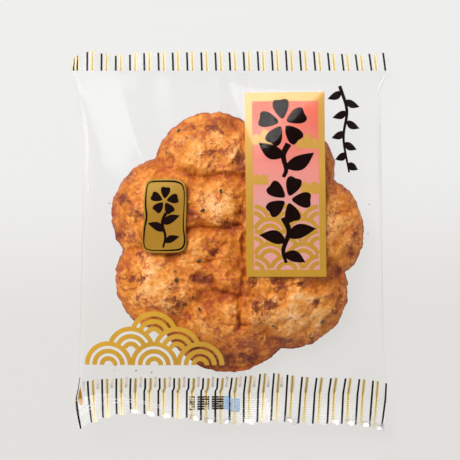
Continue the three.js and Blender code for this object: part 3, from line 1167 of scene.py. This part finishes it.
def smooth_path(points, steps=8):
    """Catmull-Rom through the points."""
    knots = [np.array(p, dtype=float) for p in points]
    knots = [2 * knots[0] - knots[1], *knots, 2 * knots[-1] - knots[-2]]
    path = []
    for a, b, c, d in zip(knots, knots[1:], knots[2:], knots[3:]):
        bend, twist = 2 * a - 5 * b + 4 * c - d, 3 * b - a - 3 * c + d
        for step in range(steps):
            t = step / steps
            path.append(0.5 * (2 * b + (c - a) * t + bend * t * t + twist * t**3))
    path.append(knots[-2])
    return path


def smooth_loop(points, steps):
    """Catmull-Rom through the points and back to the first."""
    around = smooth_path([points[-1], *points, points[0], points[1]], steps)
    return np.array(around[steps : -steps - 1])


def cloud_outline(x, y, length, height, bumps):
    """A flat-bottomed bank of cloud with a scalloped top."""
    points = [(x, y), (x + length, y)]
    for i in range(bumps):
        share = 1 - (i + 0.5) / bumps
        swell = math.sin(math.pi * (0.12 + 0.76 * share))
        for step in range(7):
            turn = math.pi * step / 6
            bx = x + length * share + length / bumps * 0.5 * math.cos(turn)
            by = y + height * swell * (0.55 + 0.45 * math.sin(turn))
            points.append((bx, by))
    return points


def wave_outlines(cells, radius, rings, thick, inside=EVERYWHERE):
    """Overlapping scales of concentric arcs; a cell hides behind those that come before it."""
    outlines = []
    for order, (cx, cy) in enumerate(cells):
        for share in rings:
            run = []
            for step in range(41):
                turn = math.pi * step / 40
                x = cx + radius * share * math.cos(turn)
                y = cy + radius * share * math.sin(turn)
                hidden = any(math.hypot(x - fx, y - fy) < radius + 0.3 * thick for fx, fy in cells[:order])
                hidden = hidden or not (inside[0] < x < inside[2] and inside[1] < y < inside[3])
                if not hidden:
                    run.append((x, y))
                if len(run) > 1 and (hidden or step == 40):
                    outlines += ring_outlines(run, thick, closed=False)
                if hidden:
                    run = []
    return outlines


# The small label's hand-cut edge, clockwise from its top left.
LABEL_EDGE = [
    (-27.6, 21.5), (-22.0, 21.7), (-18.6, 21.4), (-16.4, 20.2), (-15.5, 17.0), (-15.4, 10.0),
    (-15.7, 4.0), (-15.4, -1.0), (-16.7, -3.7), (-20.0, -4.4), (-25.0, -4.5), (-29.0, -4.2),
    (-30.8, -2.5), (-30.9, 3.0), (-30.3, 8.0), (-30.5, 13.0), (-30.0, 18.0), (-29.3, 20.5),
]
PANEL_OUTER = (5.5, -12.9, 33.7, 52.4)
PANEL_INNER = (8.1, -10.4, 31.4, 49.2)
PANEL_MIDDLE = 20
PANEL_LEAN = -0.011  # sideways for each millimetre up from its middle
PANEL_WAVE_ROWS = 5
PANEL_WAVE_RISE = 4.4
# Banks of cloud: left, bottom, length, height, bumps.
PANEL_CLOUDS = [
    (8.1, 33.6, 8.6, 5.6, 3), (23.6, 32.4, 7.8, 5.4, 3), (8.1, 19.6, 5.4, 4.4, 2), (25.0, 16.4, 6.4, 5.2, 2),
]
# Leaves of the sprig beside the panel: x, y, length, degrees, bend.
SPRIG_LEAVES = [
    (39.6, 52.6, 5.88, -152, 0.4), (40.9, 49.6, 5.67, -24, -0.4), (41.4, 45.6, 5.67, -156, 0.4),
    (41.2, 42.2, 5.46, -28, -0.4), (40.6, 38.4, 5.25, -154, 0.4), (40.6, 34.6, 5.04, -30, -0.4),
    (41.2, 30.8, 4.62, -150, 0.4), (42.0, 27.4, 4.2, -36, -0.4),
]
# Register marks: left, right, top.
BLACK_MARKS = [(-14.5, -12.6, -56.1), (-11.7, -7.4, -56.1), (-6.6, -2.3, -56.1)]
BLUE_MARKS = [(-2.2, -0.4, -56.1), (-0.1, 3.5, -57.0)]
# Middles of the waves at the lower left, front ones first.
CORNER_CELLS = [
    (-43.4, -44.6), (-27.0, -44.6), (-10.6, -44.6), (-35.2, -39.2), (-18.8, -39.2), (-27.0, -33.8),
]


def leaning(outlines):
    """The panel runs slightly askew on the film."""
    return [[(x + PANEL_LEAN * (y - PANEL_MIDDLE), y) for x, y in outline] for outline in outlines]


def make_panel():
    """White backing, coral, a gold border, gold clouds and waves, and two black blossoms."""
    lay_print("panel_backing", leaning([box_outline(*PANEL_OUTER)]), BACKING_GAP, white_ink)
    lay_print("panel_coral", leaning([box_outline(*PANEL_INNER)]), COLOUR_GAP, coral_ink)
    border = leaning(frame_outlines(PANEL_OUTER, PANEL_INNER))
    lay_print("panel_gold_border", border, GOLD_GAP, gold_ink)
    left, bottom, right, _ = PANEL_INNER
    gold = [cloud_outline(*cloud) for cloud in PANEL_CLOUDS]
    half = (right - left) / 4
    cells = []
    for row in range(PANEL_WAVE_ROWS):
        odd = row % 2
        level = bottom - 1.0 + PANEL_WAVE_RISE * row
        cells += [(left + odd * half + 2 * half * i, level) for i in range(3 - odd)]
    gold += wave_outlines(cells, half, (0.98, 0.58), 1.5, (left, bottom, right, FAR))
    lay_print("panel_gold_clouds", leaning(gold), GOLD_GAP, gold_ink)
    black = [
        *blossom_outlines(18.6, 41.4, 9.2, 96),
        *stem_outlines([(20.6, 34.0), (18.8, 30.0), (19.8, 25.0), (18.8, 22.2)], 2.2, 1.2),
        leaf_outline(19.2, 29.6, 10.4, 5.0, 152, 0.8),
        leaf_outline(19.6, 25.6, 11.4, 5.2, 28, -0.8),
        *blossom_outlines(20.4, 14.4, 8.8, 70),
        *stem_outlines([(18.8, 8.0), (20.8, 3.0), (18.8, -3.4), (19.8, -8.0)], 2.1, 1.1),
        leaf_outline(20.2, 1.2, 10.6, 5.0, 16, 0.8),
        leaf_outline(19.8, -0.6, 9.8, 4.6, 166, -0.8),
        leaf_outline(19.0, -4.8, 8.2, 4.0, -22, 0.6),
    ]
    lay_print("panel_black_blossoms", black, BLACK_GAP, black_ink)


def make_label():
    """The small gold label, with a brushed line just inside its edge and a sprig."""
    edge = smooth_loop(LABEL_EDGE, 5)
    lay_print("label_gold", [[tuple(point) for point in edge]], COLOUR_GAP, label_ink)
    middle = np.mean(edge, axis=0)
    rim = middle + (edge - middle) * (1 - 0.9 / np.hypot(*(edge - middle).T))[:, None]
    black = [
        *ring_outlines(rim, 0.5 + 0.16 * np.sin(np.arange(len(rim)) / 5)),
        *blossom_outlines(-23.1, 13.9, 5.3, 84),
        *stem_outlines([(-22.6, 9.6), (-23.9, 6.0), (-22.8, 1.4), (-23.6, -2.6)], 1.2, 0.7),
        leaf_outline(-23.5, 5.6, 6.6, 2.9, 28, 0.5),
        leaf_outline(-23.3, 3.2, 6.4, 2.9, 154, -0.5),
        leaf_outline(-23.0, -0.8, 5.6, 2.5, 22, 0.4),
    ]
    lay_print("label_black_sprig", black, BLACK_GAP, black_ink)


def make_side_sprig():
    sprig = stem_outlines([(38.8, 54.6), (41.4, 46.0), (40.2, 36.0), (42.2, 24.0)], 1.3, 0.7)
    for x, y, length, degrees, bend in SPRIG_LEAVES:
        sprig.append(leaf_outline(x, y, length, 2.7, degrees, bend))
    lay_print("side_black_sprig", sprig, BLACK_GAP, black_ink)


def make_register_marks():
    for name, boxes, finish, slot in (
        ("cutting_mark_black", BLACK_MARKS, black_ink, "black_print"),
        ("cutting_mark_blue", BLUE_MARKS, blue_ink, "blue_print"),
    ):
        bars = [bar for mark in boxes for bar in ribbed_mark(*mark)]
        lay_print(name, bars, MARK_GAP, finish)


def make_tucked_corner():
    """The bottom seal's left end is tucked under, which draws its last bars into a bow."""
    bow = smooth_path([(-53.9, -49.3), (-54.5, -53.2), (-55.2, -57.2), (-54.5, -62.0), (-53.2, -67.2)])
    widths = np.interp(np.arange(len(bow)), [0, 14, 20, 32], [0.25, 0.4, 0.9, 0.6])
    bow = ring_outlines(bow, widths, closed=False)
    lay_print("tucked_corner_black", bow, STRIPE_BLACK_GAP, black_ink)
    tuck = [(-53.8, -52.6), (-53.3, -55.2), (-52.8, -58.6), (-53.6, -59.4), (-54.6, -58.0), (-54.5, -55.2)]
    lay_print("tucked_corner_gold", [tuck], TUCK_GOLD_GAP, label_ink)


def make_corner_waves():
    waves = wave_outlines(CORNER_CELLS, 7.9, (0.98, 0.64, 0.3), 1.7)
    lay_print("corner_gold_waves", waves, BLACK_GAP, art_ink)


# ---- stripes ------------------------------------------------------------------------------------

STRIPE_COUNT = 22
BLACK_WIDTH = 0.7
GOLD_WIDTH = 1.25
GOLD_SHIFT = 1.8
GOLD_END = 56.4
BACK_SHIFT = 3.4  # the back's bars lie between the front's on the left
BACK_SPAN = [14.0, 24.0]  # and come to lie behind its gold ones here
BACK_WIDTH = 0.9
STRIPE_RUN_IN = 5.6  # the bottom stripes start this far up the body
GATHER_RUN_IN = 1.9  # and further where the film is gathered under the cracker
RUN_IN_ROWS = 12
STRAIGHT = [0.0], [0.0]

# The stripes of each seal. Over its first ribs, "breaks", gold is broken up more and more, and over
# the next, "fades", it is worn away to "gold_left". The rest are places across the bag and how far
# sideways stripes have wandered there, mm: at the seal line, by the cut edge, by the far end of their
# run up the body, and in a step just inside the seal.
TOP_STRIPES = {
    "fin": TOP_FIN,
    "body_rows": 0,
    "first": -51.3,
    "pitch": 5.11,
    "breaks": [0.2, 1.8],
    "fades": [6.0, 13.0],
    "gold_left": 0.4,
    "at_seal": ([-51, -41, -10, 20, 41, 56], [0.1, 0.1, 0.35, 0.2, 0.1, -0.3]),
    "at_edge": ([-57, -54, -51, -36, 0, 57], [-0.4, -0.6, -0.37, -0.46, -0.33, -0.27]),
    "in_body": STRAIGHT,
    "step": STRAIGHT,
}
BOTTOM_STRIPES = {
    "fin": BOTTOM_FIN,
    "body_rows": RUN_IN_ROWS,
    "first": -50.5,
    "pitch": 5.06,
    "breaks": [0.8, 4.6],
    "fades": [5.0, 12.5],
    "gold_left": 0.2,
    "at_seal": (
        [-51, -36, -26, -10, 0, 15, 35, 51, 56],
        [-0.36, -0.6, -0.57, -0.36, -0.25, -0.04, 0, 0.32, 0.07],
    ),
    "at_edge": (
        [-51, -46, -36, -26, -10, 3, 15, 25, 35, 46, 51],
        [0.8, 0.3, 0.7, 0.3, 0, 0, -0.6, -0.95, -0.6, -0.4, -0.1],
    ),
    "in_body": (
        [-51, -46, -36, -25, -15, -5, 1, 8, 20, 31, 41, 51],
        [-0.2, 0, 0.39, 0.07, 0.29, 0.4, 0.7, 0.6, 0.2, 0.58, 0.74, 0.3],
    ),
    "step": ([-34, -28, -5, 3], [0.0, 0.5, 0.5, 0.0]),
}


def stripe_wander(seal, x, outward, run_in):
    """How far a stripe has wandered sideways by each place on it, mm."""
    at_seal, at_edge, in_body, step = (
        np.interp(x, *seal[part]) for part in ("at_seal", "at_edge", "in_body", "step")
    )
    wander = at_seal + at_edge * outward + in_body * run_in / STRIPE_RUN_IN
    return wander + step * smooth((run_in - 0.8) / 0.9)


def make_stripes(name, bars, finish, gap):
    """Bars of print under the film; each is (its seal's stripes, place, width)."""
    pieces = []
    for seal, middle, width in bars:
        rows = FIN_ROWS + seal["body_rows"]
        bar, grid = new_sheet(name, 2, rows)
        row = np.round((grid[:, 1] + 1) / 2 * rows) - seal["body_rows"]
        outward = clamp(row / FIN_ROWS)
        run_in = clamp(-row / RUN_IN_ROWS) * (STRIPE_RUN_IN + GATHER_RUN_IN * hill(middle - 14.5, 9.5))
        x = middle + np.round(grid[:, 0]) * width / 2
        x = x + stripe_wander(seal, x, outward, run_in)
        fin_x, fin_y, fin_z = on_fin(seal["fin"], x, outward)
        body_y = BOTTOM_SEAL_Y + run_in
        in_fin = row >= 0
        write_places(
            bar,
            np.where(in_fin, fin_x, x),
            np.where(in_fin, fin_y, in_plan(x, body_y)),
            np.where(in_fin, fin_z + LAYER_GAP, upper_layer(x, body_y)) - gap,
        )
        write_values(bar, "middle", 1 - np.abs(grid[:, 0]))
        ribs = seal["fin"]["length"] * outward / CRIMP_PITCH
        write_values(bar, "ribs", ribs)
        write_values(bar, "broken", np.interp(ribs, seal["breaks"], [0.0, 0.5]))
        write_values(bar, "gold_left", np.interp(ribs, seal["fades"], [1.0, seal["gold_left"]]))
        pieces.append(bar)
    dress(join_flat(name, pieces), finish)


def make_back_stripes(name, places, width, finish, gap):
    """The same print on the bag's back, which shows through the clear film short of the seal."""
    pieces = []
    for middle in places:
        bar, grid = new_sheet(name, 2, RUN_IN_ROWS)
        run_in = mix(2.0, STRIPE_RUN_IN, (grid[:, 1] + 1) / 2)
        x = middle + grid[:, 0] * width / 2
        x = x + stripe_wander(BOTTOM_STRIPES, x, 0.0, run_in)
        body_y = BOTTOM_SEAL_Y + run_in
        write_places(bar, x, in_plan(x, body_y), lower_layer(x, body_y) + gap)
        pieces.append(bar)
    piece = join_flat(name, pieces)
    piece.data.flip_normals()
    dress(piece, finish)


def stripe_places():
    """The bars of both seals' front print, and where those of the back lie."""
    black, gold = [], []
    for seal in (TOP_STRIPES, BOTTOM_STRIPES):
        for i in range(STRIPE_COUNT):
            x = seal["first"] + seal["pitch"] * i
            black.append((seal, x, BLACK_WIDTH))
            if x + GOLD_SHIFT < GOLD_END:
                gold.append((seal, x + GOLD_SHIFT, GOLD_WIDTH))
    # Two more bars lie close together at the top seal's left end.
    black += [(TOP_STRIPES, -56.2, 0.6), (TOP_STRIPES, -54.9, 0.6)]
    gold += [(TOP_STRIPES, -56.1, 1.2), (TOP_STRIPES, -54.8, 1.2)]
    first, pitch = BOTTOM_STRIPES["first"], BOTTOM_STRIPES["pitch"]
    back = [first + pitch * i for i in range(-1, STRIPE_COUNT - 1)]
    back = [x + np.interp(x, BACK_SPAN, [BACK_SHIFT, GOLD_SHIFT]) for x in back]
    return black, gold, back


make_film()
make_pinches()
make_back_seam()
cracker = make_cracker()
make_flakes("seaweed_flakes", SEAWEED, 0.75, 0.16, seaweed, cracker, 11)
make_flakes("loose_crumbs", CRUMBS, 0.28, 0.2, chilli, cracker, 12)
make_panel()
make_label()
make_side_sprig()
make_register_marks()
make_tucked_corner()
make_corner_waves()
black_bars, gold_bars, back_places = stripe_places()
make_stripes("seal_stripes_black", black_bars, black_ink, STRIPE_BLACK_GAP)
make_stripes("seal_stripes_gold", gold_bars, gold_stripe_ink, STRIPE_GOLD_GAP)
make_back_stripes("back_stripes_white", back_places, BACK_WIDTH, veil_ink, BACK_WHITE_GAP)
make_back_stripes(
    "back_stripes_black", back_places, BACK_WIDTH - 0.1, black_ink, BACK_BLACK_GAP
)

# ---- stage --------------------------------------------------------------------------------------


def make_floor():
    bpy.ops.object.select_all(action="DESELECT")
    bpy.ops.mesh.primitive_grid_add(x_subdivisions=4, y_subdivisions=4, size=3, location=(0, 0, 0))
    floor = start_piece("pale_table")
    finish, tree = new_finish("lit_opal_acrylic")
    # The table glows from below, so that shadows on it stay faint; its glow darkens towards the lower right,
    # a painted shade of the light's falloff.
    place = add(tree, "TexCoord").outputs["Object"]
    sides = add(tree, "SeparateXYZ", {0: place}).outputs
    slant = add(tree, "Math", {0: sides[0], 1: -0.05, 2: sides[1]}, operation="MULTIPLY_ADD")
    painted_falloff = add(tree, "MapRange", {0: slant, 1: 0.030, 2: -0.035}, interpolation_type="SMOOTHSTEP")
    tint = add(tree, "Mix", {0: painted_falloff, 6: linear("#F9F9F8"), 7: linear("#ECEAE6")}, data_type="RGBA")
    skin = add(tree, "BsdfDiffuse", {"Color": linear("#4A4948")})
    glow = add(tree, "Emission", {"Color": tint, "Strength": 0.822})
    both = add(tree, "AddShader", {0: skin, 1: glow})
    add(tree, "OutputMaterial", {"Surface": both})
    floor.data.materials.append(finish)


def make_light(name, place, target, width, height, power, **seen_by):
    lamp = bpy.data.lights.new(name, "AREA")
    lamp.shape = "RECTANGLE"
    lamp.size = width
    lamp.size_y = height
    lamp.energy = power
    item = bpy.data.objects.new(name, lamp)
    bpy.context.scene.collection.objects.link(item)
    item.location = place
    aim = Vector(target) - Vector(place)
    item.rotation_euler = aim.to_track_quat("-Z", "Y").to_euler()
    for rays, seen in seen_by.items():
        setattr(item, rays, seen)


def make_studio():
    key, overhead = (-0.40, 0.50, 0.78), (-0.40, 0.625, 0.60)
    make_light("key_softbox", key, (0, 0, 0), 0.60, 0.60, 10.8, visible_glossy=False)
    make_light("softbox_in_gloss", overhead, (*overhead[:2], 0), 0.60, 0.95, 9.0, visible_diffuse=False)
    world = bpy.data.worlds.new("studio")
    bpy.context.scene.world = world
    world.use_nodes = True
    tree = world.node_tree
    # White walls all round, brightest low down, and a darker ceiling straight above.
    place = add(tree, "TexCoord").outputs["Generated"]
    height = add(tree, "SeparateXYZ", {0: place}).outputs[2]
    low = add(tree, "MapRange", {0: height, 1: 0.10, 2: 0.45, 3: 1.0, 4: 0.5})
    high = add(tree, "MapRange", {0: height, 1: 0.78, 2: 0.93, 3: 1.0, 4: 0.1})
    light = add(tree, "Math", {0: low, 1: high}, operation="MULTIPLY")
    sky = tree.nodes["Background"]
    sky.inputs["Color"].default_value = linear("#FFFDFA")
    tree.links.new(light.outputs[0], sky.inputs["Strength"])


def make_camera():
    """Straight above the bag, with a long lens."""
    lens = bpy.data.cameras.new("camera")
    lens.sensor_width = 36
    lens.lens = 130.8
    camera = bpy.data.objects.new("camera", lens)
    bpy.context.scene.collection.objects.link(camera)
    camera.location = (0, 3.59 * MM, 0.607)
    bpy.context.scene.camera = camera


make_floor()
make_studio()
make_camera()
bpy.context.scene.view_settings.view_transform = "Standard"
